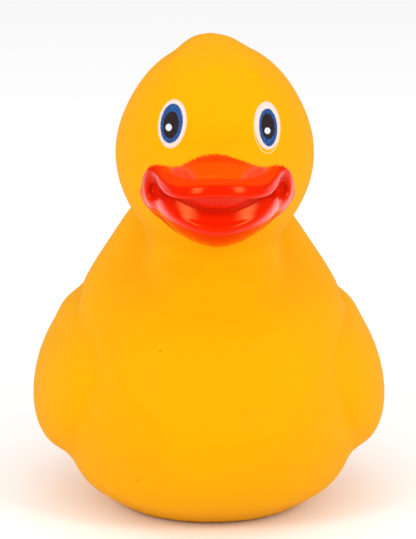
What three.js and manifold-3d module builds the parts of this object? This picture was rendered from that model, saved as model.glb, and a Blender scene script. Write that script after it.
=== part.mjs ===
// Rubber duck: one hollow shell of soft vinyl, moulded in one piece, standing on a flat base.
// Millimetres, +Z up, the bill points along -Y. The outer skin is the zero level of a smooth
// field built from a lofted trunk and rounded lobes; the hollow is the same field one wall deeper.
import * as THREE from 'three';
import { mergeVertices } from 'three/addons/utils/BufferGeometryUtils.js';
import Module from 'manifold-3d';

const WALL = 2.0;
const VENT_DIAMETER = 4.0;
const VENT_Y = 14;
const VENT_CUT_LENGTH = 8.0;
const VENT_FACETS = 20;
// The hollow stops short of the bill, which is solid.
const HOLLOW_FRONT_Y = -26;
const HOLLOW_FRONT_BLEND = 1;
// The shape is drawn about the trunk's axis; the toy's plan centre lies this far behind it.
const PLAN_CENTRE_Y = 2.7;

// Trunk sections, bottom to top: height, half width, front, back.
const TRUNK_SECTIONS = [
  [-4, 14.5, -13.0, 16.0],
  [0, 18.6, -17.0, 20.5],
  [6, 26.4, -25.2, 28.3],
  [14, 29.9, -30.0, 34.2],
  [25, 30.6, -31.8, 37.0],
  [37, 28.4, -29.2, 33.2],
  [45, 25.8, -22.9, 27.5],
  [54, 20.0, -10.5, 21.8],
  [61, 15.0, -1.0, 17.0],
  [69, 9.0, 4.0, 12.0],
];
const TRUNK_TOP = 66;
const TRUNK_CROWN = 8;

// Neck sections, from inside the chest up into the head.
const NECK_SECTIONS = [
  [30, 16.5, -24.5, 4.0],
  [38, 17.3, -25.2, 4.5],
  [45, 16.2, -23.8, 5.0],
  [51, 14.0, -21.0, 5.5],
  [56, 13.1, -18.6, 6.0],
  [60, 13.3, -18.2, 6.0],
  [66, 14.0, -20.0, 5.0],
];
const NECK_MIDDLE = 48;
const NECK_HALF_HEIGHT = 17;
const NECK_END = 4;

// A section is rounder than a box and squarer than an ellipse.
const SECTION_ROUNDNESS = 2.15;
const SECTION_SLOPE = 0.92;

// The crease between neck and shoulders is sharp at the head and fades into the chest.
const SHOULDER_CREASE = 1.4;
const CHEST_BLEND = 5;
const CHEST_FADE_TOP = 55;
const CHEST_FADE_FOOT = 28;
const CHEST_FADE_REACH = 14;

const HEAD = { y: -9, z: 75, side: 19.65, long: 20.5, crown: 22.3, jaw: 19.9 };
const CROWN_SLIMMING = 0.035;
const CROWN_START = 76;
const CROWN_REACH = 14;
const HEAD_BLEND = 4;

const TAIL_LOBES = 8;
const TAIL_ROOT = { y: 22, z: 27, radius: 17.0 };
const TAIL_TIP = { y: 44, z: 47.5, radius: 3.0 };
const TAIL_SWEEP = 1.4;
const TAIL_TAPER = 0.8;
const TAIL_LOBE_SHAPE = [1.12, 0.95, 0.72];
const TAIL_LOBE_BLEND = 6;
const TAIL_BLEND = 8;

const WING = { at: [24.0, 5.0, 26.0], radii: [12.2, 22.8, 16.3] };
const WING_LEAN = 0.5;
const WING_LEAN_AXIS = 27;
const WING_SHOULDER = { at: [24.0, 7.5, 35.4], radii: [7.2, 13.5, 6.9] };
const WING_SHOULDER_BLEND = 1;
const WING_BLEND = 2.2;

// The crease along each wing's front edge: points on the skin, and its depth there.
const WING_CREASE = [
  [26.0, 10.0, 43.0, 0.4],
  [26.8, 3.5, 43.1, 0.9],
  [27.8, -1.3, 41.8, 0.9],
  [28.0, -4.6, 41.0, 1.0],
  [27.0, -10.0, 39.2, 0.8],
  [24.5, -16.0, 37.3, 0.45],
  [23.9, -18.6, 34.2, 0.3],
  [24.7, -19.3, 29.7, 0.2],
  [26.2, -18.0, 23.5, 0.25],
  [29.3, -11.2, 15.6, 0.1],
];
const CREASE_WIDTH = 1.15;

const TUFT_MOUND = { at: [-0.8, -4.0, 93.9], radii: [5.8, 8.5, 3.8] };
const TUFT_LOCKS = [
  { root: [-2.6, -5, 94.6], tip: [-7.4, -13.0, 93.2], rootRadius: 2.5, tipRadius: 1.6 },
  { root: [-0.6, -5, 95.1], tip: [-0.9, -18.5, 92.9], rootRadius: 2.7, tipRadius: 1.5 },
  { root: [2.2, -5, 94.4], tip: [7.0, -17.6, 91.8], rootRadius: 2.6, tipRadius: 1.6 },
];
const LOCK_BLEND = 1.5;
const TUFT_BLEND = 2;

// The bill starts inside the face at BILL_ROOT_Y and leans a little to the duck's right.
const BILL_ROOT_Y = -22;
const BILL_LEAN = 0.045;
const BILL_LEAN_START = -18;
const BILL_PLAN_ROUNDNESS = 2.2;
const LEAST_HALF_THICKNESS = 0.2;

// Upper face of the bill: its height at the tip, its climb to the forehead, its droop to the sides.
const BILL_TOP = 76.9;
const BILL_TIP_Y = -42;
const BILL_CLIMB = 1.7;
const BILL_CLIMB_REACH = 15;
const BILL_DROOP = 3.0;
const BILL_DROOP_RELIEF = 0.9;
const BILL_DROOP_HALF = 11.5;

const LIP_ROLL = { half: 12.4, reach: 19.8, thickness: 3.3, edge: 1.15 };
// The roll's front face tips back above its middle.
const ROLL_MIDDLE = 75;
const ROLL_TIP = 0.4;
const ROLL_TIP_REACH = 2;
const LIP_BAND = { half: 12.2, reach: 17.6, below: 0.8, under: 70.2, edge: 0.7 };
const BAND_TOP = 73.8;
const BAND_DEPTH = 5;
const BAND_SET_BACK = 0.62;
const BAND_NARROWING = 0.08;
const LIP_BLEND = 0.7;

const LOWER_BILL = { half: 12.8, reach: 18.8, depth: 10.9, z: 70.9 };
const KEEL_ROUNDNESS = 1.75;
const BOWL_SLOPE = 10;
const LOWER_LIP_EDGE = 2.4;
const LOWER_LIP_Z = 68.1;
const LOWER_LIP_RISE = 0.024;
const LOWER_LIP_TOP = 72.5;
// The dish inside the lower lip: its front, how it climbs back to the upper lip, how deep it dips.
const DISH = { y: -38.7, bow: 0.045, length: 2.1, climb: 3.2, climbPower: 1.3, dip: 0.6, dipStart: 0.35 };

const CHEEK_PAD = { at: [11.9, -22.3, 72.0], radii: [2.7, 4.8, 5.0] };
const CHEEK_BLEND = 2.5;
const MOUTH_CORNER = { at: [12.7, -27.2, 71.8], radii: [0.9, 2.0, 1.5] };
const MOUTH_CORNER_BLEND = 1.4;
const LOWER_BILL_BLEND = 1;
// The upper lip meets the face in a tight seam at its sides and a wide fillet above.
const SEAM_BLEND = 0.5;
const FILLET_BLEND = 3.5;
const FILLET_START = 73.5;
const FILLET_REACH = 2.5;

const BASE_EDGE = 1.5;

// The skin's grid along x, y and z: its span, and the band where the bill's small forms want finer steps.
const GRID = [
  { low: -38, high: 38, fine: 2.0, from: -14, to: 14 },
  { low: -46, high: 52, fine: 1.5, from: -44, to: -32 },
  { low: -3, high: 104, fine: 1.3, from: 65, to: 72 },
];
const COARSE_STEP = 3.4;
const HOLLOW_STEP = 4.8;
const STEP_GROWTH = 0.15;

// How the skin's points are drawn onto the field, evened out and welded.
const SLOPE_STEP = 0.02;
const LEAST_SLOPE = 0.05;
const SETTLE_TURNS = 3;
const SETTLE_REACH = 0.6;
const RELAX_ROUNDS = 3;
const WELD = 1e-4;

// ---- small field tools ----

function softMin(a, b, reach) {
  const h = Math.max(reach - Math.abs(a - b), 0) / reach;
  return Math.min(a, b) - (h * h * reach) / 4;
}

function softMax(a, b, reach) {
  return -softMin(-a, -b, reach);
}

function softStep(value) {
  const t = THREE.MathUtils.clamp(value, 0, 1);
  return t * t * (3 - 2 * t);
}

function ellipsoid(x, y, z, { at, radii }) {
  const px = (x - at[0]) / radii[0];
  const py = (y - at[1]) / radii[1];
  const pz = (z - at[2]) / radii[2];
  const level = Math.hypot(px, py, pz);
  const slope = Math.hypot(px / radii[0], py / radii[1], pz / radii[2]);
  return (level * (level - 1)) / Math.max(slope, 1e-6);
}

// Nearest point of the stretch from a to b: how far along it lies, and how far away.
function nearestOnRod(x, y, z, a, b) {
  const dx = b[0] - a[0];
  const dy = b[1] - a[1];
  const dz = b[2] - a[2];
  const along = ((x - a[0]) * dx + (y - a[1]) * dy + (z - a[2]) * dz) / (dx * dx + dy * dy + dz * dz);
  const t = THREE.MathUtils.clamp(along, 0, 1);
  return { t, away: Math.hypot(x - a[0] - dx * t, y - a[1] - dy * t, z - a[2] - dz * t) };
}

// Smooth curve through a table of sections; column 1, 2 or 3 at height z.
function sectionCurve(rows, z, column) {
  const last = rows.length - 1;
  const height = THREE.MathUtils.clamp(z, rows[0][0], rows[last][0]);
  let i = 0;
  while (i < last - 1 && height > rows[i + 1][0]) i += 1;
  const slope = (k) => {
    const before = rows[Math.max(k - 1, 0)];
    const after = rows[Math.min(k + 1, last)];
    return (after[column] - before[column]) / (after[0] - before[0]);
  };
  const gap = rows[i + 1][0] - rows[i][0];
  const t = (height - rows[i][0]) / gap;
  const from = rows[i][column] * (2 * t ** 3 - 3 * t ** 2 + 1);
  const leaving = slope(i) * gap * (t ** 3 - 2 * t ** 2 + t);
  const to = rows[i + 1][column] * (3 * t ** 2 - 2 * t ** 3);
  const arriving = slope(i + 1) * gap * (t ** 3 - t ** 2);
  return (from + leaving) + (to + arriving);
}

// An upright body lofted through rounded sections.
function loft(rows, x, y, z) {
  const half = sectionCurve(rows, z, 1);
  const front = sectionCurve(rows, z, 2);
  const back = sectionCurve(rows, z, 3);
  const depth = (back - front) / 2;
  const across = Math.abs(x / half) ** SECTION_ROUNDNESS;
  const along = Math.abs((y - (front + back) / 2) / depth) ** SECTION_ROUNDNESS;
  const ring = (across + along) ** (1 / SECTION_ROUNDNESS) - 1;
  return ring * Math.min(half, depth) * SECTION_SLOPE;
}

// ---- the duck's members ----

function trunk(x, y, z) {
  return softMax(loft(TRUNK_SECTIONS, x, y, z), z - TRUNK_TOP, TRUNK_CROWN);
}

function neck(x, y, z) {
  return softMax(loft(NECK_SECTIONS, x, y, z), Math.abs(z - NECK_MIDDLE) - NECK_HALF_HEIGHT, NECK_END);
}

function head(x, y, z) {
  const slim = 1 - CROWN_SLIMMING * softStep((z - CROWN_START) / CROWN_REACH);
  const rise = z > HEAD.z ? HEAD.crown : HEAD.jaw;
  return ellipsoid(x, y, z, { at: [0, HEAD.y, HEAD.z], radii: [HEAD.side * slim, HEAD.long * slim, rise] });
}

// The tail is a row of flattened lobes that shrink as they sweep up and back.
function tail(x, y, z) {
  let level = Infinity;
  for (let i = 0; i < TAIL_LOBES; i += 1) {
    const t = i / (TAIL_LOBES - 1);
    const lobeY = TAIL_ROOT.y + (TAIL_TIP.y - TAIL_ROOT.y) * t;
    const lobeZ = TAIL_ROOT.z + (TAIL_TIP.z - TAIL_ROOT.z) * t ** TAIL_SWEEP;
    const radius = TAIL_TIP.radius + (TAIL_ROOT.radius - TAIL_TIP.radius) * (1 - t) ** TAIL_TAPER;
    const radii = TAIL_LOBE_SHAPE.map((scale) => radius * scale);
    const lobe = ellipsoid(x, y, z, { at: [0, lobeY, lobeZ], radii });
    level = i === 0 ? lobe : softMin(level, lobe, TAIL_LOBE_BLEND);
  }
  return level;
}

// One folded wing: a broad pad that leans outward toward its foot, with a shoulder lobe above it.
function wing(side, y, z) {
  const leaned = z + WING_LEAN * (side - WING_LEAN_AXIS);
  const pad = ellipsoid(side, y, leaned, WING);
  return softMin(pad, ellipsoid(side, y, z, WING_SHOULDER), WING_SHOULDER_BLEND);
}

// How deep the wing's crease is pressed in at a point.
function wingCrease(side, y, z) {
  let deepest = 0;
  for (let i = 0; i < WING_CREASE.length - 1; i += 1) {
    const [a, b] = [WING_CREASE[i], WING_CREASE[i + 1]];
    const { t, away } = nearestOnRod(side, y, z, a, b);
    const depth = THREE.MathUtils.lerp(a[3], b[3], t) * Math.exp(-((away / CREASE_WIDTH) ** 2));
    deepest = Math.max(deepest, depth);
  }
  return deepest;
}

function tuft(x, y, z) {
  let level = ellipsoid(x, y, z, TUFT_MOUND);
  for (const { root, tip, rootRadius, tipRadius } of TUFT_LOCKS) {
    const { t, away } = nearestOnRod(x, y, z, root, tip);
    level = softMin(level, away - THREE.MathUtils.lerp(rootRadius, tipRadius, t), LOCK_BLEND);
  }
  return level;
}

// Distance from the bill's own centre line.
function billSide(x, y) {
  return x - BILL_LEAN * Math.min(y - BILL_LEAN_START, 0);
}

// Height of the bill's upper face, `side` from its centre line.
function billTop(side, y) {
  const back = softStep((y - BILL_TIP_Y) / BILL_CLIMB_REACH);
  const droop = (side / BILL_DROOP_HALF) ** 2;
  return BILL_TOP + BILL_CLIMB * back - BILL_DROOP * droop + BILL_DROOP_RELIEF * back * droop;
}

// A flat plate with a round rim, lobed forward from the face.
function plate(side, y, z, { half, reach, edge }, top, under) {
  const across = Math.abs(side / half) ** BILL_PLAN_ROUNDNESS;
  const along = Math.abs((y - BILL_ROOT_Y) / reach) ** BILL_PLAN_ROUNDNESS;
  const plan = ((across + along) ** (1 / BILL_PLAN_ROUNDNESS) - 1) * half;
  const thick = Math.max((top - under) / 2, LEAST_HALF_THICKNESS);
  const rim = Math.min(edge, thick);
  const inPlan = plan + rim;
  const inHeight = Math.abs(z - (top + under) / 2) - thick + rim;
  const outside = Math.hypot(Math.max(inPlan, 0), Math.max(inHeight, 0));
  return outside + Math.min(Math.max(inPlan, inHeight), 0) - rim;
}

// Upper half of the bill: the roll of the lip, and the set-back band under it.
function upperBill(x, y, z) {
  const side = billSide(x, y);
  const top = billTop(side, y);
  const tip = ROLL_TIP * THREE.MathUtils.clamp(z - ROLL_MIDDLE, -ROLL_TIP_REACH, ROLL_TIP_REACH);
  const roll = plate(side, y - tip, z, LIP_ROLL, top, top - LIP_ROLL.thickness);
  const drop = THREE.MathUtils.clamp(BAND_TOP - z, 0, BAND_DEPTH);
  const bandSide = side * (1 + BAND_NARROWING * drop);
  const band = plate(bandSide, y - BAND_SET_BACK * drop, z, LIP_BAND, top - LIP_BAND.below, LIP_BAND.under);
  return softMin(roll, band, LIP_BLEND);
}

// Lower half of the bill: a bowl with a rounded keel, dished inside its lip, and a pad at each cheek.
function lowerBill(x, y, z) {
  const side = billSide(x, y);
  const across = Math.abs(side / LOWER_BILL.half) ** KEEL_ROUNDNESS;
  const down = Math.abs((z - LOWER_BILL.z) / LOWER_BILL.depth) ** KEEL_ROUNDNESS;
  const along = (y - BILL_ROOT_Y) / LOWER_BILL.reach;
  const keel = (across + down) ** (2 / KEEL_ROUNDNESS);
  const bowl = (Math.sqrt(keel + along * along) - 1) * BOWL_SLOPE;
  const inward = THREE.MathUtils.clamp((y - DISH.y - DISH.bow * side * side) / DISH.length, 0, 1);
  const dip = DISH.dip * softStep(inward / DISH.dipStart) * (1 - inward);
  const lip = LOWER_LIP_Z + LOWER_LIP_RISE * side * side + DISH.climb * inward ** DISH.climbPower - dip;
  const open = softMax(bowl, z - Math.min(lip, LOWER_LIP_TOP), LOWER_LIP_EDGE);
  return softMin(open, ellipsoid(Math.abs(side), y, z, CHEEK_PAD), CHEEK_BLEND);
}

// The whole skin: negative inside, positive outside, close to a distance near the surface.
function duck(x, y, z) {
  const side = Math.abs(x);
  const fadeTop = softStep((CHEST_FADE_TOP - z) / CHEST_FADE_REACH);
  const fadeFoot = softStep((z - CHEST_FADE_FOOT) / CHEST_FADE_REACH);
  const upper = softMin(neck(x, y, z), head(x, y, z), HEAD_BLEND);
  const body = softMin(trunk(x, y, z), tail(x, y, z), TAIL_BLEND);
  let level = softMin(upper, body, SHOULDER_CREASE + CHEST_BLEND * fadeTop * fadeFoot);
  level = softMin(level, wing(side, y, z), WING_BLEND) + wingCrease(side, y, z);
  level = softMin(level, tuft(x, y, z), TUFT_BLEND);
  level = softMin(level, lowerBill(x, y, z), LOWER_BILL_BLEND);
  const lip = upperBill(x, y, z);
  const seam = softMin(level, lip, SEAM_BLEND);
  const fillet = softMin(level, lip, FILLET_BLEND);
  level = THREE.MathUtils.lerp(seam, fillet, softStep((z - FILLET_START) / FILLET_REACH));
  const corner = ellipsoid(Math.abs(billSide(x, y)), y, z, MOUTH_CORNER);
  level = softMax(level, -corner, MOUTH_CORNER_BLEND);
  return softMax(level, -z, BASE_EDGE);
}

// The hollow: the skin one wall deeper, ended behind the bill.
function cavity(x, y, z) {
  return softMax(duck(x, y, z) + WALL, HOLLOW_FRONT_Y - y, HOLLOW_FRONT_BLEND);
}

// ---- skin the field ----

// Grid planes along one axis, `coarse` apart, closing up to `fine` inside the axis's band.
function planes({ low, high, from, to }, fine, coarse) {
  const marks = [low];
  while (marks[marks.length - 1] < high) {
    const here = marks[marks.length - 1];
    const away = Math.max(from - here, here - to, 0);
    marks.push(here + Math.min(coarse, fine + away * STEP_GROWTH));
  }
  return marks;
}

// A grid cell's corners are numbered by the bits x, y, z; its edges join corners one bit apart.
const CORNERS = [0, 1, 2, 3, 4, 5, 6, 7].map((n) => [n & 1, (n >> 1) & 1, (n >> 2) & 1]);
const EDGES = CORNERS.flatMap((_, n) => [1, 2, 4].filter((bit) => !(n & bit)).map((bit) => [n, n | bit]));
const FACES = [[1, 2, 4], [2, 4, 1], [4, 1, 2]].flatMap(([u, v, w]) => [0, w].map((base) => (
  [base, base | u, base | u | v, base | v]
)));
const edgeBetween = (a, b) => EDGES.findIndex(([p, q]) => (p === a && q === b) || (p === b && q === a));

// Sort a cell's cut edges into the separate sheets of skin that pass through it.
function sheetsOf(inside) {
  const sheet = EDGES.map(([a, b], n) => (inside[a] === inside[b] ? -1 : n));
  const join = (p, q) => {
    const from = sheet[p];
    const to = sheet[q];
    sheet.forEach((label, n) => {
      if (label === from) sheet[n] = to;
    });
  };
  for (const face of FACES) {
    const sides = face.map((corner, n) => edgeBetween(corner, face[(n + 1) % 4]));
    const cut = sides.filter((edge) => sheet[edge] >= 0);
    if (cut.length === 2) join(cut[0], cut[1]);
    if (cut.length !== 4) continue;
    face.forEach((corner, n) => {
      if (inside[corner]) join(sides[n], sides[(n + 3) % 4]);
    });
  }
  return sheet;
}

function slopeOf(field, { x, y, z }) {
  return new THREE.Vector3(
    field(x + SLOPE_STEP, y, z) - field(x - SLOPE_STEP, y, z),
    field(x, y + SLOPE_STEP, z) - field(x, y - SLOPE_STEP, z),
    field(x, y, z + SLOPE_STEP) - field(x, y, z - SLOPE_STEP),
  ).divideScalar(2 * SLOPE_STEP);
}

// Slide a point along the field's slope until it lies on the skin.
function settle(field, point) {
  for (let turn = 0; turn < SETTLE_TURNS; turn += 1) {
    const slope = slopeOf(field, point);
    const reach = field(point.x, point.y, point.z) / Math.max(slope.lengthSq(), LEAST_SLOPE);
    point.addScaledVector(slope, -THREE.MathUtils.clamp(reach, -SETTLE_REACH, SETTLE_REACH));
  }
}

// Even out the mesh: draw each point halfway to the mean of its neighbours, then back onto the skin.
function relax(field, points, quads) {
  const neighbours = points.map(() => new Set());
  for (const quad of quads) {
    quad.forEach((vertex, n) => neighbours[vertex].add(quad[(n + 1) % 4]).add(quad[(n + 3) % 4]));
  }
  for (let round = 0; round < RELAX_ROUNDS; round += 1) {
    const means = neighbours.map((ring) => {
      const mean = new THREE.Vector3();
      ring.forEach((vertex) => mean.add(points[vertex]));
      return mean.divideScalar(ring.size);
    });
    points.forEach((point, n) => {
      point.lerp(means[n], 0.5);
      settle(field, point);
    });
  }
}

// Dual surface of the field on a grid: one vertex for each sheet of skin in a cell,
// one quadrilateral across each grid edge that the skin cuts.
function skin(field, [xs, ys, zs]) {
  const sizes = [xs.length, ys.length, zs.length];
  const at = (i, j, k) => (i * sizes[1] + j) * sizes[2] + k;
  const values = new Float64Array(sizes[0] * sizes[1] * sizes[2]);
  xs.forEach((x, i) => ys.forEach((y, j) => zs.forEach((z, k) => {
    values[at(i, j, k)] = field(x, y, z);
  })));

  const points = [];
  const vertexOf = new Map();
  for (let i = 0; i < sizes[0] - 1; i += 1) {
    for (let j = 0; j < sizes[1] - 1; j += 1) {
      for (let k = 0; k < sizes[2] - 1; k += 1) {
        const corners = CORNERS.map(([di, dj, dk]) => (
          new THREE.Vector3(xs[i + di], ys[j + dj], zs[k + dk])
        ));
        const levels = CORNERS.map(([di, dj, dk]) => values[at(i + di, j + dj, k + dk)]);
        const inside = levels.map((level) => level < 0);
        if (inside.every((flag) => flag === inside[0])) continue;
        const sheet = sheetsOf(inside);
        for (const label of new Set(sheet.filter((name) => name >= 0))) {
          const point = new THREE.Vector3();
          let cuts = 0;
          EDGES.forEach(([a, b], n) => {
            if (sheet[n] !== label) return;
            point.add(corners[a].clone().lerp(corners[b], levels[a] / (levels[a] - levels[b])));
            vertexOf.set(at(i, j, k) * EDGES.length + n, points.length);
            cuts += 1;
          });
          point.divideScalar(cuts);
          settle(field, point);
          points.push(point);
        }
      }
    }
  }

  const quads = [];
  for (let axis = 0; axis < 3; axis += 1) {
    const u = (axis + 1) % 3;
    const v = (axis + 2) % 3;
    const cell = [0, 0, 0];
    for (cell[axis] = 0; cell[axis] < sizes[axis] - 1; cell[axis] += 1) {
      for (cell[u] = 1; cell[u] < sizes[u] - 1; cell[u] += 1) {
        for (cell[v] = 1; cell[v] < sizes[v] - 1; cell[v] += 1) {
          const next = [...cell];
          next[axis] += 1;
          const startsInside = values[at(...cell)] < 0;
          if (startsInside === values[at(...next)] < 0) continue;
          const round = [[1, 1], [0, 1], [0, 0], [1, 0]].map(([du, dv]) => {
            const near = [...cell];
            near[u] -= du;
            near[v] -= dv;
            const start = (du << u) | (dv << v);
            return vertexOf.get(at(...near) * EDGES.length + edgeBetween(start, start | (1 << axis)));
          });
          quads.push(startsInside ? round : round.reverse());
        }
      }
    }
  }
  relax(field, points, quads);

  // Each quadrilateral is split along its shorter diagonal.
  const indices = quads.flatMap(([a, b, c, d]) => (
    points[a].distanceToSquared(points[c]) <= points[b].distanceToSquared(points[d])
      ? [a, b, c, a, c, d]
      : [b, c, d, b, d, a]
  ));
  const geometry = new THREE.BufferGeometry();
  geometry.setFromPoints(points);
  geometry.setIndex(indices);
  return geometry;
}

// ---- solids ----

const wasm = await Module();
wasm.setup();

function toSolid(geometry) {
  const bare = geometry.clone();
  bare.deleteAttribute('normal');
  bare.deleteAttribute('uv');
  const merged = mergeVertices(bare, WELD);
  const vertProperties = new Float32Array(merged.attributes.position.array);
  const triVerts = new Uint32Array(merged.index.array);
  return new wasm.Manifold(new wasm.Mesh({ numProp: 3, vertProperties, triVerts }));
}

function toGeometry(solid) {
  const mesh = solid.getMesh();
  const geometry = new THREE.BufferGeometry();
  geometry.setAttribute('position', new THREE.Float32BufferAttribute(mesh.vertProperties, 3));
  geometry.setIndex(new THREE.Uint32BufferAttribute(mesh.triVerts, 1));
  return geometry;
}

const outerPlanes = GRID.map((axis) => planes(axis, axis.fine, COARSE_STEP));
const outer = toSolid(skin(duck, outerPlanes));

const hollowPlanes = GRID.map((axis) => planes(axis, HOLLOW_STEP, HOLLOW_STEP));
const hollow = toSolid(skin(cavity, hollowPlanes));

const ventRadius = VENT_DIAMETER / 2;
const ventGeometry = new THREE.CylinderGeometry(ventRadius, ventRadius, VENT_CUT_LENGTH, VENT_FACETS);
ventGeometry.rotateX(Math.PI / 2);
ventGeometry.translate(0, VENT_Y, 0);
const vent = toSolid(ventGeometry);

const shell = toGeometry(outer.subtract(hollow).subtract(vent));
shell.translate(0, -PLAN_CENTRE_Y, 0);
shell.computeVertexNormals();

const vinyl = new THREE.MeshStandardMaterial({ color: 0xfeba00, roughness: 0.62, metalness: 0 });
const duckMesh = new THREE.Mesh(shell, vinyl);
duckMesh.name = 'duck';

const group = new THREE.Group();
group.name = 'rubber_duck';
group.add(duckMesh);

export default group;
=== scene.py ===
"""Rubber duck: the looks of the moulded vinyl toy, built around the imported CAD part. Metres, +Z up."""

import math

import bpy
import numpy as np
from mathutils import Matrix, Vector


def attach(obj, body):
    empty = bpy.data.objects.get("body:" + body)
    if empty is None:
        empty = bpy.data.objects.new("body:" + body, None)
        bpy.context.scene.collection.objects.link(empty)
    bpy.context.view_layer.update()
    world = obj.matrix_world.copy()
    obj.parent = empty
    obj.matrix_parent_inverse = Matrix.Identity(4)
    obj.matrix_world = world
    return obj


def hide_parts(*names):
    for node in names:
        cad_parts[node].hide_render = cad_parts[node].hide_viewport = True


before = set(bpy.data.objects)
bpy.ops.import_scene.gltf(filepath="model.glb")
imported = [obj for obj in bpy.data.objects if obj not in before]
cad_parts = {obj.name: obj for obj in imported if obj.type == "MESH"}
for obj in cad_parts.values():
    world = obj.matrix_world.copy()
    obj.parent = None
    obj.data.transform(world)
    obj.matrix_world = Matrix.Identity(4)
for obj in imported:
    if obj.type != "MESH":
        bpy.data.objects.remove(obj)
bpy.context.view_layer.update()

MM = 0.001
# The shape is drawn about the trunk's axis; the toy's plan centre lies this far behind it (mm).
PLAN_CENTRE_Y = 2.7

# The skin's grid (mm): its span on each axis, and the band of finer steps round the bill.
GRID = (
    (-38, 38, (-15, 15)),
    (-45, 50, (-43, -22)),
    (-2, 102, (62, 80)),
)
GRID_STEP = 0.72
BILL_STEP = 0.42
STEP_GROWTH = 0.06
SLOPE_STEP = 0.01
LEAST_SLOPE = 0.05
SETTLE_ROUNDS = 3
SETTLE_REACH = 0.3
RELAX_ROUNDS = 2

# Trunk sections, bottom to top: height, half width, front, back (mm).
TRUNK = np.array([
    [-4, 14.5, -13.0, 16.0],
    [0, 18.6, -17.0, 20.5],
    [6, 26.4, -25.2, 28.3],
    [14, 29.9, -30.0, 34.2],
    [25, 30.6, -31.8, 37.0],
    [37, 28.4, -29.2, 33.2],
    [45, 25.8, -22.9, 27.5],
    [54, 20.0, -10.5, 21.8],
    [61, 15.0, -1.0, 17.0],
    [69, 9.0, 4.0, 12.0],
])
TRUNK_TOP = 66
TRUNK_CROWN = 8
# Neck sections, from inside the chest up into the head.
NECK = np.array([
    [30, 16.5, -24.5, 4.0],
    [38, 17.3, -25.2, 4.5],
    [45, 16.2, -23.8, 5.0],
    [51, 14.0, -21.0, 5.5],
    [56, 13.1, -18.6, 6.0],
    [60, 13.3, -18.2, 6.0],
    [66, 14.0, -20.0, 5.0],
])
NECK_MIDDLE = 48
NECK_HALF_HEIGHT = 17
NECK_END = 4
# A section is rounder than a box and squarer than an ellipse.
SECTION_ROUNDNESS = 2.15
SECTION_SLOPE = 0.92

# The crease between neck and shoulders is sharp at the head and fades into the chest.
SHOULDER_CREASE = 1.4
CHEST_BLEND = 5
CHEST_FADE_TOP = 55
CHEST_FADE_FOOT = 28
CHEST_FADE_REACH = 14

HEAD_AT = (0, -9, 75)
HEAD_SIDE = 19.65
HEAD_LONG = 20.5
HEAD_CROWN = 22.3
HEAD_JAW = 19.9
CROWN_SLIMMING = 0.035
CROWN_START = 76
CROWN_REACH = 14
HEAD_BLEND = 4

# The tail's first and last lobe: y, z, radius.
TAIL_LOBES = 8
TAIL_ROOT = (22, 27, 17.0)
TAIL_TIP = (44, 47.5, 3.0)
TAIL_SWEEP = 1.4
TAIL_TAPER = 0.8
TAIL_LOBE_SHAPE = (1.12, 0.95, 0.72)
TAIL_LOBE_BLEND = 6
TAIL_BLEND = 8

# Ellipsoids are given by their centre and radii.
WING = ((24.0, 5.0, 26.0), (12.2, 22.8, 16.3))
WING_LEAN = 0.5
WING_LEAN_AXIS = 27
WING_SHOULDER = ((24.0, 7.5, 35.4), (7.2, 13.5, 6.9))
WING_SHOULDER_BLEND = 1
WING_BLEND = 2.2

# The crease along each wing's front edge: points on the skin, and its depth there (mm).
WING_CREASE = [
    (26.0, 10.0, 43.0, 0.4),
    (26.8, 3.5, 43.1, 0.9),
    (27.8, -1.3, 41.8, 0.9),
    (28.0, -4.6, 41.0, 1.0),
    (27.0, -10.0, 39.2, 0.8),
    (24.5, -16.0, 37.3, 0.45),
    (23.9, -18.6, 34.2, 0.3),
    (24.7, -19.3, 29.7, 0.2),
    (26.2, -18.0, 23.5, 0.25),
    (29.3, -11.2, 15.6, 0.1),
]
CREASE_WIDTH = 1.15

TUFT_MOUND = ((-0.8, -4.0, 93.9), (5.8, 8.5, 3.8))
# The tuft's locks: root, tip, radius at the root and at the tip.
TUFT_LOCKS = (
    ((-2.6, -5, 94.6), (-7.4, -13.0, 93.2), 2.5, 1.6),
    ((-0.6, -5, 95.1), (-0.9, -18.5, 92.9), 2.7, 1.5),
    ((2.2, -5, 94.4), (7.0, -17.6, 91.8), 2.6, 1.6),
)
LOCK_BLEND = 1.5
TUFT_BLEND = 2

# The bill starts inside the face at BILL_ROOT_Y and leans a little to the duck's right.
BILL_ROOT_Y = -22
BILL_LEAN = 0.045
BILL_LEAN_START = -18
BILL_PLAN_ROUNDNESS = 2.2
LEAST_HALF_THICKNESS = 0.2
BILL_TOP = 76.9
BILL_TIP_Y = -42
BILL_CLIMB = 1.7
BILL_CLIMB_REACH = 15
BILL_DROOP = 3.0
BILL_DROOP_RELIEF = 0.9
BILL_DROOP_HALF = 11.5

# Plates of the upper lip: half width, reach forward, radius of the rim.
LIP_ROLL = (12.4, 19.8, 1.15)
LIP_ROLL_THICKNESS = 3.3
ROLL_MIDDLE = 75
ROLL_TIP = 0.4
ROLL_TIP_REACH = 2
LIP_BAND = (12.2, 17.6, 0.7)
BAND_BELOW = 0.8
BAND_UNDER = 70.2
BAND_TOP = 73.8
BAND_DEPTH = 5
BAND_SET_BACK = 0.62
BAND_NARROWING = 0.08
LIP_BLEND = 0.7

LOWER_BILL_HALF = 12.8
LOWER_BILL_REACH = 18.8
LOWER_BILL_DEPTH = 10.9
LOWER_BILL_Z = 70.9
KEEL_ROUNDNESS = 1.75
BOWL_SLOPE = 10.0
LOWER_LIP_EDGE = 2.4
LOWER_LIP_Z = 68.1
LOWER_LIP_RISE = 0.024
LOWER_LIP_TOP = 72.5
# The dish inside the lower lip: its front, how it climbs back to the upper lip, how deep it dips.
DISH_Y = -38.7
DISH_BOW = 0.045
DISH_LENGTH = 2.1
DISH_CLIMB = 3.2
DISH_CLIMB_POWER = 1.3
DISH_DIP = 0.6
DISH_DIP_START = 0.35

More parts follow.
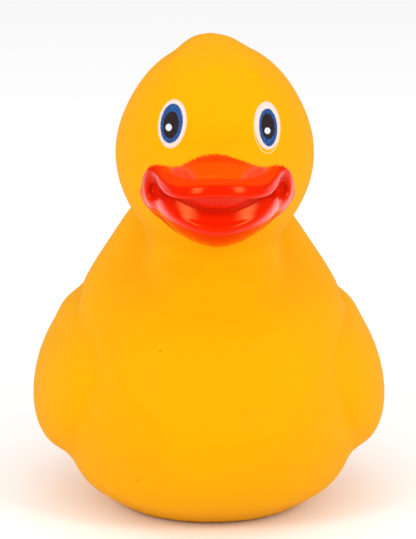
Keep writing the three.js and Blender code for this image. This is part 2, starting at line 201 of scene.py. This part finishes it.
CHEEK_PAD = ((11.9, -22.3, 72.0), (2.7, 4.8, 5.0))
CHEEK_BLEND = 2.5
MOUTH_CORNER = ((12.7, -27.2, 71.8), (0.9, 2.0, 1.5))
MOUTH_CORNER_BLEND = 1.4
LOWER_BILL_BLEND = 1
# The upper lip meets the face in a tight seam at its sides and a wide fillet above.
SEAM_BLEND = 0.5
FILLET_BLEND = 3.5
FILLET_START = 73.5
FILLET_REACH = 2.5

BASE_EDGE = 1.5
VENT_Y = 14
VENT_RADIUS = 2
VENT_DEPTH = 9


# ---- the skin as a smooth field, in millimetres: negative inside, positive outside ----


def curve(sections, z, column):
    """Smooth curve through one column of a table of sections."""
    heights, values = sections[:, 0], sections[:, column]
    last = len(heights) - 1
    before = np.maximum(np.arange(last + 1) - 1, 0)
    after = np.minimum(np.arange(last + 1) + 1, last)
    slopes = (values[after] - values[before]) / (heights[after] - heights[before])
    z = np.clip(z, heights[0], heights[-1])
    i = np.clip(np.searchsorted(heights, z) - 1, 0, last - 1)
    gap = heights[i + 1] - heights[i]
    t = (z - heights[i]) / gap
    leaving = values[i] * (2 * t**3 - 3 * t**2 + 1) + slopes[i] * gap * (t**3 - 2 * t**2 + t)
    arriving = values[i + 1] * (3 * t**2 - 2 * t**3) + slopes[i + 1] * gap * (t**3 - t**2)
    return leaving + arriving


def soft_min(a, b, reach):
    h = np.maximum(reach - np.abs(a - b), 0) / reach
    return np.minimum(a, b) - h * h * reach / 4


def soft_max(a, b, reach):
    return -soft_min(-a, -b, reach)


def soft_step(value):
    t = np.clip(value, 0, 1)
    return t * t * (3 - 2 * t)


def ellipsoid(x, y, z, shape):
    at, radii = shape
    px, py, pz = (x - at[0]) / radii[0], (y - at[1]) / radii[1], (z - at[2]) / radii[2]
    level = np.sqrt(px**2 + py**2 + pz**2)
    slope = np.sqrt((px / radii[0])**2 + (py / radii[1])**2 + (pz / radii[2])**2)
    return level * (level - 1) / np.maximum(slope, 1e-6)


def nearest_on_rod(x, y, z, a, b):
    """Nearest point of the stretch from a to b: how far along it lies, and how far away squared."""
    dx, dy, dz = b[0] - a[0], b[1] - a[1], b[2] - a[2]
    t = ((x - a[0]) * dx + (y - a[1]) * dy + (z - a[2]) * dz) / (dx * dx + dy * dy + dz * dz)
    t = np.clip(t, 0, 1)
    return t, (x - a[0] - dx * t)**2 + (y - a[1] - dy * t)**2 + (z - a[2] - dz * t)**2


def loft(sections, x, y, z):
    """An upright body of rounded sections: negative inside."""
    half, front, back = (curve(sections, z, column) for column in (1, 2, 3))
    depth = (back - front) / 2
    across = np.abs(x / half) ** SECTION_ROUNDNESS
    along = np.abs((y - (front + back) / 2) / depth) ** SECTION_ROUNDNESS
    ring = (across + along) ** (1 / SECTION_ROUNDNESS) - 1
    return ring * np.minimum(half, depth) * SECTION_SLOPE


def trunk(x, y, z):
    return soft_max(loft(TRUNK, x, y, z), z - TRUNK_TOP, TRUNK_CROWN)


def neck(x, y, z):
    return soft_max(loft(NECK, x, y, z), np.abs(z - NECK_MIDDLE) - NECK_HALF_HEIGHT, NECK_END)


def head(x, y, z):
    rise = np.where(z > HEAD_AT[2], HEAD_CROWN, HEAD_JAW)
    slim = 1 - CROWN_SLIMMING * soft_step((z - CROWN_START) / CROWN_REACH)
    return ellipsoid(x, y, z, (HEAD_AT, (HEAD_SIDE * slim, HEAD_LONG * slim, rise)))


def tail(x, y, z):
    """A row of flattened lobes that shrink as they sweep up and back."""
    root_y, root_z, root_radius = TAIL_ROOT
    tip_y, tip_z, tip_radius = TAIL_TIP
    level = None
    for i in range(TAIL_LOBES):
        t = i / (TAIL_LOBES - 1)
        radius = tip_radius + (root_radius - tip_radius) * (1 - t) ** TAIL_TAPER
        at = (0, root_y + (tip_y - root_y) * t, root_z + (tip_z - root_z) * t**TAIL_SWEEP)
        lobe = ellipsoid(x, y, z, (at, [radius * scale for scale in TAIL_LOBE_SHAPE]))
        level = lobe if level is None else soft_min(level, lobe, TAIL_LOBE_BLEND)
    return level


def wing(side, y, z):
    """A broad pad that leans outward toward its foot, with a shoulder lobe above it."""
    leaned = z + WING_LEAN * (side - WING_LEAN_AXIS)
    pad = ellipsoid(side, y, leaned, WING)
    return soft_min(pad, ellipsoid(side, y, z, WING_SHOULDER), WING_SHOULDER_BLEND)


def wing_crease(side, y, z):
    """How deep the crease is pressed in at a point."""
    deepest = 0
    for a, b in zip(WING_CREASE[:-1], WING_CREASE[1:]):
        t, away_squared = nearest_on_rod(side, y, z, a, b)
        depth = (a[3] + (b[3] - a[3]) * t) * np.exp(-away_squared / CREASE_WIDTH**2)
        deepest = np.maximum(deepest, depth)
    return deepest


def tuft(x, y, z):
    level = ellipsoid(x, y, z, TUFT_MOUND)
    for root, tip, root_radius, tip_radius in TUFT_LOCKS:
        t, away_squared = nearest_on_rod(x, y, z, root, tip)
        lock = np.sqrt(away_squared) - root_radius - (tip_radius - root_radius) * t
        level = soft_min(level, lock, LOCK_BLEND)
    return level


def bill_side(x, y):
    """Distance from the bill's own centre line."""
    return x - BILL_LEAN * np.minimum(y - BILL_LEAN_START, 0)


def plate(x, y, z, shape, top, under):
    """A flat plate with a round rim, lobed forward from the face."""
    half, reach, edge = shape
    across = np.abs(x / half) ** BILL_PLAN_ROUNDNESS
    along = np.abs((y - BILL_ROOT_Y) / reach) ** BILL_PLAN_ROUNDNESS
    plan = ((across + along) ** (1 / BILL_PLAN_ROUNDNESS) - 1) * half
    thick = np.maximum((top - under) / 2, LEAST_HALF_THICKNESS)
    edge = np.minimum(edge, thick)
    in_plan, in_height = plan + edge, np.abs(z - (top + under) / 2) - thick + edge
    outside = np.sqrt(np.maximum(in_plan, 0) ** 2 + np.maximum(in_height, 0) ** 2)
    return outside + np.minimum(np.maximum(in_plan, in_height), 0) - edge


def bill_top(x, y):
    """Height of the bill's upper face, which climbs to the forehead and droops to the sides."""
    back = soft_step((y - BILL_TIP_Y) / BILL_CLIMB_REACH)
    droop = (x / BILL_DROOP_HALF) ** 2
    return BILL_TOP + BILL_CLIMB * back - BILL_DROOP * droop + BILL_DROOP_RELIEF * back * droop


def upper_bill(x, y, z):
    """The roll of the upper lip, and the set-back band under it; the roll droops to the sides."""
    x = bill_side(x, y)
    top = bill_top(x, y)
    tip = ROLL_TIP * np.clip(z - ROLL_MIDDLE, -ROLL_TIP_REACH, ROLL_TIP_REACH)
    roll = plate(x, y - tip, z, LIP_ROLL, top, top - LIP_ROLL_THICKNESS)
    drop = np.clip(BAND_TOP - z, 0, BAND_DEPTH)
    band_side = x * (1 + BAND_NARROWING * drop)
    band = plate(band_side, y - BAND_SET_BACK * drop, z, LIP_BAND, top - BAND_BELOW, BAND_UNDER)
    return soft_min(roll, band, LIP_BLEND)


def lower_bill(x, y, z):
    """A bowl whose lip rises toward the corners of the mouth, dished above, with a rounded keel below."""
    x = bill_side(x, y)
    across = np.abs(x / LOWER_BILL_HALF) ** KEEL_ROUNDNESS
    down = (np.abs(z - LOWER_BILL_Z) / LOWER_BILL_DEPTH) ** KEEL_ROUNDNESS
    along = (y - BILL_ROOT_Y) / LOWER_BILL_REACH
    keel = (across + down) ** (2 / KEEL_ROUNDNESS)
    bowl = (np.sqrt(keel + along**2) - 1) * BOWL_SLOPE
    inward = np.clip((y - DISH_Y - DISH_BOW * x * x) / DISH_LENGTH, 0, 1)
    dip = DISH_DIP * soft_step(inward / DISH_DIP_START) * (1 - inward)
    lip = LOWER_LIP_Z + LOWER_LIP_RISE * x * x + DISH_CLIMB * inward**DISH_CLIMB_POWER - dip
    bowl = soft_max(bowl, z - np.minimum(lip, LOWER_LIP_TOP), LOWER_LIP_EDGE)
    return soft_min(bowl, ellipsoid(np.abs(x), y, z, CHEEK_PAD), CHEEK_BLEND)


def mouth_corner(x, y, z):
    return ellipsoid(np.abs(bill_side(x, y)), y, z, MOUTH_CORNER)


def duck(x, y, z):
    """The whole skin, with the vent hole open below."""
    side = np.abs(x)
    fade_top = soft_step((CHEST_FADE_TOP - z) / CHEST_FADE_REACH)
    fade_foot = soft_step((z - CHEST_FADE_FOOT) / CHEST_FADE_REACH)
    level = soft_min(neck(x, y, z), head(x, y, z), HEAD_BLEND)
    body = soft_min(trunk(x, y, z), tail(x, y, z), TAIL_BLEND)
    level = soft_min(level, body, SHOULDER_CREASE + CHEST_BLEND * fade_top * fade_foot)
    level = soft_min(level, wing(side, y, z), WING_BLEND) + wing_crease(side, y, z)
    level = soft_min(level, tuft(x, y, z), TUFT_BLEND)
    level = soft_min(level, lower_bill(x, y, z), LOWER_BILL_BLEND)
    lip = upper_bill(x, y, z)
    seam = soft_min(level, lip, SEAM_BLEND)
    fillet = soft_min(level, lip, FILLET_BLEND)
    level = seam + (fillet - seam) * soft_step((z - FILLET_START) / FILLET_REACH)
    level = soft_max(level, -mouth_corner(x, y, z), MOUTH_CORNER_BLEND)
    vent = np.maximum(np.hypot(x, y - VENT_Y) - VENT_RADIUS, z - VENT_DEPTH)
    return np.maximum(soft_max(level, -z, BASE_EDGE), -vent)


# ---- skin the field ----


def planes(low, high, band):
    """Grid planes, GRID_STEP apart, closing up to BILL_STEP inside the band."""
    marks = [low]
    while marks[-1] < high:
        away = max(band[0] - marks[-1], marks[-1] - band[1], 0)
        marks.append(marks[-1] + min(GRID_STEP, BILL_STEP + STEP_GROWTH * away))
    return np.array(marks)


def slope(field, points):
    x, y, z = points.T
    step = SLOPE_STEP
    return np.stack([
        field(x + step, y, z) - field(x - step, y, z),
        field(x, y + step, z) - field(x, y - step, z),
        field(x, y, z + step) - field(x, y, z - step),
    ], 1) / (2 * step)


def settle(field, points):
    """Slide the points along the field's slope onto the skin."""
    for _ in range(SETTLE_ROUNDS):
        g = slope(field, points)
        reach = field(*points.T) / np.maximum((g * g).sum(1), LEAST_SLOPE)
        points = points - g * np.clip(reach, -SETTLE_REACH, SETTLE_REACH)[:, None]
    return points


def skin(field, axes):
    """Dual surface of the field: one vertex in each cut cell, one quadrilateral across each cut edge."""
    values = field(*np.meshgrid(*axes, indexing="ij", sparse=True))
    inside = values < 0
    cells = [len(a) - 1 for a in axes]
    count = sum(
        inside[i:i + cells[0], j:j + cells[1], k:k + cells[2]].astype(np.int8)
        for i in (0, 1) for j in (0, 1) for k in (0, 1)
    )
    active = (count > 0) & (count < 8)
    index = np.full(active.shape, -1)
    index[active] = np.arange(active.sum())
    cell = np.stack(np.where(active), 1)
    total, cuts = np.zeros((len(cell), 3)), np.zeros(len(cell))
    for axis in range(3):
        u, v = (axis + 1) % 3, (axis + 2) % 3
        for du in (0, 1):
            for dv in (0, 1):
                a = cell.copy()
                a[:, u] += du
                a[:, v] += dv
                b = a.copy()
                b[:, axis] += 1
                va, vb = values[tuple(a.T)], values[tuple(b.T)]
                cut = (va < 0) != (vb < 0)
                t = np.where(cut, va / np.where(cut, va - vb, 1), 0)[:, None]
                pa = np.stack([axes[n][a[:, n]] for n in range(3)], 1)
                pb = np.stack([axes[n][b[:, n]] for n in range(3)], 1)
                total += np.where(cut[:, None], pa + t * (pb - pa), 0)
                cuts += cut
    points = total / cuts[:, None]
    quads = []
    for axis in range(3):
        u, v = (axis + 1) % 3, (axis + 2) % 3
        low = [slice(1, -1)] * 3
        high = [slice(1, -1)] * 3
        low[axis], high[axis] = slice(0, -1), slice(1, None)
        starts_inside, ends_inside = inside[tuple(low)], inside[tuple(high)]
        at = np.stack(np.where(starts_inside != ends_inside), 1)
        first = starts_inside[tuple(at.T)]
        at[:, u] += 1
        at[:, v] += 1
        ring = []
        for du, dv in ((1, 1), (0, 1), (0, 0), (1, 0)):
            near = at.copy()
            near[:, u] -= du
            near[:, v] -= dv
            ring.append(index[tuple(near.T)])
        quad = np.stack(ring, 1)
        quad[~first] = quad[~first][:, ::-1]
        quads.append(quad)
    return points, np.concatenate(quads)


def relax(field, points, quads):
    """Draw each point halfway to the mean of its neighbours, then back onto the skin."""
    starts = quads.reshape(-1)
    ends = np.roll(quads, -1, axis=1).reshape(-1)
    counts = np.bincount(starts, minlength=len(points)) + np.bincount(ends, minlength=len(points))
    for _ in range(RELAX_ROUNDS):
        sums = [
            np.bincount(starts, points[ends, n], len(points))
            + np.bincount(ends, points[starts, n], len(points))
            for n in range(3)
        ]
        means = np.stack(sums, 1) / counts[:, None]
        points = settle(field, (points + means) / 2)
    return points


points, quads = skin(duck, [planes(*axis) for axis in GRID])
points = relax(duck, settle(duck, points), quads)


# ---- where the paint lies ----

# The eyes were printed, and the bill sprayed through a mask, looking at the face from this side.
FACE_AZIMUTH, FACE_ELEVATION = math.radians(-3.5), math.radians(15)
FACE_RIGHT = Vector((math.cos(FACE_AZIMUTH), math.sin(FACE_AZIMUTH), 0))
FACE_BACK = Vector((
    math.sin(FACE_AZIMUTH) * math.cos(FACE_ELEVATION),
    -math.cos(FACE_AZIMUTH) * math.cos(FACE_ELEVATION),
    math.sin(FACE_ELEVATION),
))
FACE_UP = FACE_BACK.cross(FACE_RIGHT)

# Upper edge of the bill's paint, in the face's plane: across, up (mm).
PAINT_EDGE = np.array([
    [-14.6, 60.0], [-13.7, 63.2], [-13.3, 65.0], [-12.2, 66.6], [-11.0, 67.1], [-9.4, 66.9],
    [-7.8, 66.5], [-6.1, 66.7], [-4.2, 67.7], [-2.3, 68.7], [0.6, 69.1], [2.5, 68.9], [4.4, 68.3],
    [7.3, 67.3], [8.8, 66.8], [10.2, 66.6], [12.1, 67.1], [13.7, 67.1], [15.1, 66.2], [15.9, 64.4],
    [16.2, 62.5], [16.6, 60.0],
])
# The spray reaches this far beyond the bill's own form (mm), and over its root on the forehead.
SPRAY_MARGIN = 0.7
SPRAY_ROOT_Z = 71.0
SPRAY_ROOT_Y = -18
# Reach of the painted shade in the pits at the mouth's corners and along the line where the lips meet
# (mm).
PIT_SHADE_START = 0.6
PIT_SHADE_REACH = 1.2
SEAM_SHADE = 0.9
SEAM_SHADE_START = 1.1
SEAM_SHADE_REACH = 2.4
# Painted shade in the wing creases: this share of each crease's depth darkens the skin there.
CREASE_SHADE_SHARE = 0.45
# The bill turns from orange to red below its upper face, and toward the pads at its sides (mm).
LIP_RED_START = 0.2
LIP_RED_REACH = 1.0
PAD_RED = 0.6
PAD_RED_START = 10.0
PAD_RED_REACH = 2.5


def paint_depth(points):
    """How far inside the sprayed area a point lies (mm): above 0 is painted."""
    x, y, z = points.T
    bill = np.minimum(upper_bill(x, y, z), lower_bill(x, y, z))
    across = points @ np.array(FACE_RIGHT)
    up = points @ np.array(FACE_UP)
    edge = np.interp(across, PAINT_EDGE[:, 0], PAINT_EDGE[:, 1])
    root = np.minimum.reduce([edge - up, z - SPRAY_ROOT_Z, SPRAY_ROOT_Y - y])
    return np.minimum(np.maximum(SPRAY_MARGIN - bill, root), edge - up)


def mouth_shade(points):
    """Painted shade: 1 in the pits at the mouth's corners and where the lips meet, 0 away from them."""
    meeting = np.abs(upper_bill(*points.T)) + np.abs(lower_bill(*points.T))
    pit = soft_step((PIT_SHADE_START - mouth_corner(*points.T)) / PIT_SHADE_REACH)
    return np.maximum(pit, SEAM_SHADE * soft_step(SEAM_SHADE_START - meeting / SEAM_SHADE_REACH))


def lip_front(points):
    """0 on the bill's upper face, 1 on the lips, a little less on the pads at their ends."""
    x, y, z = points.T
    side = bill_side(x, y)
    top = bill_top(side, y)
    front = soft_step((top - z - LIP_RED_START) / LIP_RED_REACH)
    return np.maximum(front, PAD_RED * soft_step((np.abs(side) - PAD_RED_START) / PAD_RED_REACH))


def make_mesh(name, points, faces):
    mesh = bpy.data.meshes.new(name)
    mesh.from_pydata(points.tolist(), [], faces.tolist())
    mesh.update()
    mesh.shade_smooth()
    obj = bpy.data.objects.new(name, mesh)
    bpy.context.scene.collection.objects.link(obj)
    return obj


def to_row(points):
    """Millimetres about the trunk's axis to metres in the row's frame."""
    return (points - np.array([0, PLAN_CENTRE_Y, 0])) * MM


skin_piece = make_mesh("duck_skin", to_row(points), quads)
fields = {
    "paint_mm": paint_depth(points),
    # Painted shade in the mouth's corner pits and along the lips' meeting line.
    "mouth": mouth_shade(points),
    "lip": lip_front(points),
    # Painted shade in the wing creases, scaled from their depth.
    "crease": CREASE_SHADE_SHARE * wing_crease(np.abs(points[:, 0]), points[:, 1], points[:, 2]),
}
for name, values in fields.items():
    attribute = skin_piece.data.attributes.new(name, "FLOAT", "POINT")
    attribute.data.foreach_set("value", values.astype(np.float32))


# ---- materials ----


class Nodes:
    """Short names for the shader nodes this scene uses."""

    def __init__(self, name):
        self.material = bpy.data.materials.new(name)
        self.material.use_nodes = True
        self.tree = self.material.node_tree
        self.tree.nodes.clear()

    def add(self, kind, inputs=None, **settings):
        node = self.tree.nodes.new(kind)
        for key, value in settings.items():
            setattr(node, key, value)
        for key, value in (inputs or {}).items():
            if isinstance(value, bpy.types.NodeSocket):
                self.tree.links.new(value, node.inputs[key])
            else:
                node.inputs[key].default_value = value
        return node

    def math(self, operation, *values):
        return self.add("ShaderNodeMath", dict(enumerate(values)), operation=operation).outputs[0]

    def dot(self, vector, direction):
        node = self.add("ShaderNodeVectorMath", {0: vector, 1: tuple(direction)}, operation="DOT_PRODUCT")
        return node.outputs["Value"]

    def distance(self, vector, point):
        node = self.add("ShaderNodeVectorMath", {0: vector, 1: tuple(point)}, operation="DISTANCE")
        return node.outputs["Value"]

    def ramp(self, value, low, high, out_low=0.0, out_high=1.0):
        node = self.add(
            "ShaderNodeMapRange",
            {"Value": value, "From Min": low, "From Max": high, "To Min": out_low, "To Max": out_high},
            interpolation_type="SMOOTHSTEP",
        )
        return node.outputs["Result"]

    def mix(self, factor, a, b):
        node = self.add("ShaderNodeMix", data_type="RGBA")
        for socket, value in ((0, factor), (6, a), (7, b)):
            if isinstance(value, bpy.types.NodeSocket):
                self.tree.links.new(value, node.inputs[socket])
            else:
                node.inputs[socket].default_value = value if socket == 0 else (*value[:3], 1)
        return node.outputs[2]

    def mix_value(self, factor, a, b):
        node = self.add("ShaderNodeMix", data_type="FLOAT")
        for socket, value in ((0, factor), (2, a), (3, b)):
            if isinstance(value, bpy.types.NodeSocket):
                self.tree.links.new(value, node.inputs[socket])
            else:
                node.inputs[socket].default_value = value
        return node.outputs[0]

    def noise(self, vector, grain_mm, detail=2.0, roughness=0.5):
        node = self.add(
            "ShaderNodeTexNoise",
            {"Vector": vector, "Scale": 1 / (grain_mm * MM), "Detail": detail, "Roughness": roughness},
        )
        return node.outputs["Fac"]


YELLOW = (0.80, 0.352, 0.0)
YELLOW_DEEP = (0.78, 0.338, 0.0)
# Painted shade for the wing creases.
CREASE_SHADE = (0.706, 0.277, 0.0)
BILL_ORANGE = (0.86, 0.048, 0.0)
BILL_RED = (0.72, 0.012, 0.0)
# Painted shade for the pits at the mouth's corners and the line where the lips meet.
BILL_SHADE = (0.55, 0.005, 0.0)
EYE_WHITE = (0.697, 0.571, 0.521)
EYE_BLUE = (0.0, 0.10, 0.33)
EYE_BLUE_DARK = (0.0, 0.046, 0.168)
EYE_BLACK = (0.008, 0.014, 0.018)
EYE_GLINT = (0.588, 0.655, 0.722)
GHOST_PALE = (0.84, 0.52, 0.21)
SPECK_BROWN = (0.45, 0.16, 0.01)

# Printed eyes, each drawn in the face's plane:
# colour, centre across and up (mm), width, height (mm), lean (degrees).
EYES = [
    (EYE_WHITE, -7.68, 74.99, 5.49, 9.51, 6),
    (EYE_BLUE, -7.81, 75.05, 4.29, 7.76, 6),
    (EYE_BLACK, -7.93, 74.74, 3.00, 5.35, 6),
    (EYE_GLINT, -8.37, 74.26, 1.21, 1.41, 0),
    (GHOST_PALE, 10.55, 74.35, 5.15, 10.10, -3),
    (YELLOW, 10.55, 74.35, 4.75, 9.70, -3),
    (EYE_WHITE, 10.67, 74.81, 5.03, 9.37, -3),
    (EYE_BLUE, 10.81, 74.44, 3.55, 7.42, -3),
    (EYE_BLACK, 10.75, 74.69, 2.66, 5.03, -3),
    (EYE_GLINT, 10.67, 73.76, 1.14, 1.27, 0),
]

# Specks of dirt and paint on the skin: where (mm, about the trunk's axis), radius, colour.
SPECKS = [
    ((-15.6, -25.2, 12.3), 0.24, (0.85, 0.08, 0.0)),
    ((-11.5, -26.3, 39.2), 0.20, SPECK_BROWN),
    ((-4.9, -17.1, 56.2), 0.18, SPECK_BROWN),
    ((3.2, -29.9, 35.5), 0.12, SPECK_BROWN),
    ((-7.7, -25.2, 7.2), 0.18, SPECK_BROWN),
]

# Grain of each noise on the skin (mm).
CLOUD_GRAIN = 22
SPRAY_GRAIN = 0.2
MOTTLE_GRAIN = 0.45
PRINT_GRAIN = 0.30
SKIN_GRAIN = 0.5
# How ragged and how soft a printed edge is (mm).
PRINT_RAGGED = 0.30
PRINT_SOFT = 0.09

# Above this height the spray scatters more (m), and how far its grains stray below and above it (mm).
SCATTER_FOOT, SCATTER_TOP = 0.0745, 0.0765
SCATTER_LEAST, SCATTER_MOST = 0.35, 1.7
SPRAY_SOFT = 0.10
# The print lies on the face's front only (m along the face's own axis).
PRINT_BACK, PRINT_FRONT = 0.036, 0.038

MATT_ROUGHNESS = 0.80
GLOSS_ROUGHNESS = 0.17
VINYL_IOR = 1.4
SHEEN_TINT = (1.0, 0.28, 0.06, 1)


def vinyl_material():
    n = Nodes("vinyl")
    where = n.add("ShaderNodeTexCoord").outputs["Object"]
    paint_mm = n.add("ShaderNodeAttribute", attribute_name="paint_mm").outputs["Fac"]
    mouth_shade_in = n.add("ShaderNodeAttribute", attribute_name="mouth").outputs["Fac"]
    lip_in = n.add("ShaderNodeAttribute", attribute_name="lip").outputs["Fac"]
    crease_shade_in = n.add("ShaderNodeAttribute", attribute_name="crease").outputs["Fac"]

    cloud = n.noise(where, CLOUD_GRAIN, 3)
    colour = n.mix(n.ramp(cloud, 0.3, 0.7), YELLOW, YELLOW_DEEP)
    # Painted shade: the skin is darkened toward brown along the wing creases.
    colour = n.mix(crease_shade_in, colour, CREASE_SHADE)

    for at, radius, tint in SPECKS:
        away = n.distance(where, to_row(np.array(at)))
        colour = n.mix(n.ramp(away, radius * MM * 0.6, radius * MM * 1.3, 1, 0), colour, tint)

    # The spray thins out into separate grains at its edge, most of all above the bill.
    grain = n.noise(where, SPRAY_GRAIN, 1, 0.6)
    height = n.dot(where, (0, 0, 1))
    scatter = n.ramp(height, SCATTER_FOOT, SCATTER_TOP, SCATTER_LEAST, SCATTER_MOST)
    spray = n.math("ADD", paint_mm, n.math("MULTIPLY", n.math("SUBTRACT", grain, 0.5), scatter))
    painted = n.ramp(spray, -SPRAY_SOFT, SPRAY_SOFT)
    bill_colour = n.mix(n.ramp(lip_in, 0.1, 0.9), BILL_ORANGE, BILL_RED)
    mottle = n.noise(where, MOTTLE_GRAIN, 2, 0.6)
    bill_colour = n.mix(n.ramp(mottle, 0.35, 0.75, 0, 0.35), bill_colour, BILL_RED)
    # Painted shade darkens the bill in the mouth's corner pits and where the lips meet.
    bill_colour = n.mix(mouth_shade_in, bill_colour, BILL_SHADE)
    colour = n.mix(painted, colour, bill_colour)

    across, up = n.dot(where, FACE_RIGHT), n.dot(where, FACE_UP)
    shift = Vector((0, PLAN_CENTRE_Y * MM, 0))
    across = n.math("ADD", across, shift.dot(FACE_RIGHT))
    up = n.math("ADD", up, shift.dot(FACE_UP))
    ahead = n.ramp(n.dot(where, FACE_BACK), PRINT_BACK, PRINT_FRONT)
    dots = n.noise(where, PRINT_GRAIN, 1, 0.5)
    for tint, centre_x, centre_y, width, height, lean in EYES:
        lean = math.radians(lean)
        dx = n.math("SUBTRACT", across, centre_x * MM)
        dy = n.math("SUBTRACT", up, centre_y * MM)
        sine, cosine = math.sin(lean), math.cos(lean)
        along = n.math("ADD", n.math("MULTIPLY", dx, sine), n.math("MULTIPLY", dy, cosine))
        aside = n.math("ADD", n.math("MULTIPLY", dx, cosine), n.math("MULTIPLY", dy, -sine))
        u = n.math("DIVIDE", aside, width / 2 * MM)
        v = n.math("DIVIDE", along, height / 2 * MM)
        reach = n.math("SQRT", n.math("ADD", n.math("MULTIPLY", u, u), n.math("MULTIPLY", v, v)))
        stray = n.math("MULTIPLY", n.math("SUBTRACT", dots, 0.5), PRINT_RAGGED / width)
        reach = n.math("ADD", reach, stray)
        soft = PRINT_SOFT / width
        inside = n.math("MULTIPLY", n.ramp(reach, 1 - soft, 1 + soft, 1, 0), ahead)
        if tint == EYE_BLUE:
            tint = n.mix(n.ramp(dots, 0.38, 0.62), EYE_BLUE_DARK, EYE_BLUE)
        colour = n.mix(inside, colour, tint)

    fine = n.noise(where, SKIN_GRAIN, 3, 0.6)
    bump = n.add("ShaderNodeBump", {"Height": fine, "Strength": 0.10, "Distance": 0.00008})
    shader = n.add("ShaderNodeBsdfPrincipled", {
        "Base Color": colour,
        "Roughness": n.mix_value(painted, MATT_ROUGHNESS, GLOSS_ROUGHNESS),
        "IOR": VINYL_IOR,
        "Specular Tint": SHEEN_TINT,
        "Subsurface Weight": 0.05,
        "Subsurface Radius": (1.0, 0.45, 0.1),
        "Subsurface Scale": 0.0012,
        "Normal": bump.outputs[0],
    })
    n.add("ShaderNodeOutputMaterial", {"Surface": shader.outputs[0]})
    return n.material


skin_piece.data.materials.append(vinyl_material())
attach(skin_piece, "root")
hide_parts("duck")


# ---- floor, light and camera ----


FLOOR_WHITE = (0.96, 0.96, 0.96, 1)
FLOOR_HALF_SIZE = 3.0


def floor_material():
    n = Nodes("floor")
    shader = n.add("ShaderNodeBsdfPrincipled", {"Base Color": FLOOR_WHITE, "Roughness": 0.7})
    n.add("ShaderNodeOutputMaterial", {"Surface": shader.outputs[0]})
    return n.material


half = FLOOR_HALF_SIZE
corners = np.array([[-half, -half, 0.0], [half, -half, 0.0], [half, half, 0.0], [-half, half, 0.0]])
floor = make_mesh("floor", corners, np.array([[0, 1, 2, 3]]))
floor.data.materials.append(floor_material())


def soft_light(name, at, target, width, height, power):
    light = bpy.data.lights.new(name, "AREA")
    light.shape, light.size, light.size_y, light.energy = "RECTANGLE", width, height, power
    obj = bpy.data.objects.new(name, light)
    bpy.context.scene.collection.objects.link(obj)
    obj.location = at
    obj.rotation_euler = (Vector(target) - Vector(at)).to_track_quat("-Z", "Y").to_euler()
    return obj


MIDDLE = Vector((0, -PLAN_CENTRE_Y * MM, 0.05))
WORLD_STRENGTH = 0.98
# Soft boxes: name, place, width, height (m), power (W).
BOXES = (
    ("box_left", (-0.46, -0.42, 0.42), 0.19, 0.22, 1.4),
    ("box_right", (0.46, -0.42, 0.42), 0.19, 0.22, 1.5),
    ("box_top", (0, -0.15, 0.75), 0.5, 0.5, 0.4),
)
# Reflector sheets in front of the side boxes: they show in the bill's gloss and don't light the matt skin.
SHEETS = (
    ("sheet_left", (-0.45, -0.41, 0.41), 0.34, 0.26, 2.0),
    ("sheet_right", (0.45, -0.41, 0.41), 0.34, 0.26, 2.0),
)
for name, at, width, height, power in BOXES:
    soft_light(name, at, MIDDLE, width, height, power)
for name, at, width, height, power in SHEETS:
    soft_light(name, at, MIDDLE, width, height, power).visible_diffuse = False

world = bpy.data.worlds.new("studio")
world.use_nodes = True
background = world.node_tree.nodes["Background"]
background.inputs["Color"].default_value = (1, 1, 1, 1)
background.inputs["Strength"].default_value = WORLD_STRENGTH
# The white surroundings light the duck but do not veil the gloss of its bill.
world.cycles_visibility.glossy = False
bpy.context.scene.world = world
bpy.context.scene.view_settings.view_transform = "Standard"

# The camera looks square at the face's plane; VIEW_WIDTH is the width it sees at the duck.
CAMERA_DISTANCE = 0.65
VIEW_WIDTH = 84.3813 * MM
CAMERA_ROLL = math.radians(0.4)
SHIFT_ACROSS = -0.0076923
SHIFT_UP = -0.0168269
SENSOR = 36.0
camera_data = bpy.data.cameras.new("camera")
camera_data.sensor_fit = "HORIZONTAL"
camera_data.sensor_width = SENSOR
camera_data.lens = SENSOR * CAMERA_DISTANCE / VIEW_WIDTH
camera_data.shift_x = SHIFT_ACROSS
camera_data.shift_y = SHIFT_UP
camera = bpy.data.objects.new("camera", camera_data)
bpy.context.scene.collection.objects.link(camera)
turn = Matrix((FACE_RIGHT, FACE_UP, FACE_BACK)).transposed().to_4x4()
roll = Matrix.Rotation(CAMERA_ROLL, 4, "Z")
camera.matrix_world = Matrix.Translation(MIDDLE + FACE_BACK * CAMERA_DISTANCE) @ turn @ roll
bpy.context.scene.camera = camera
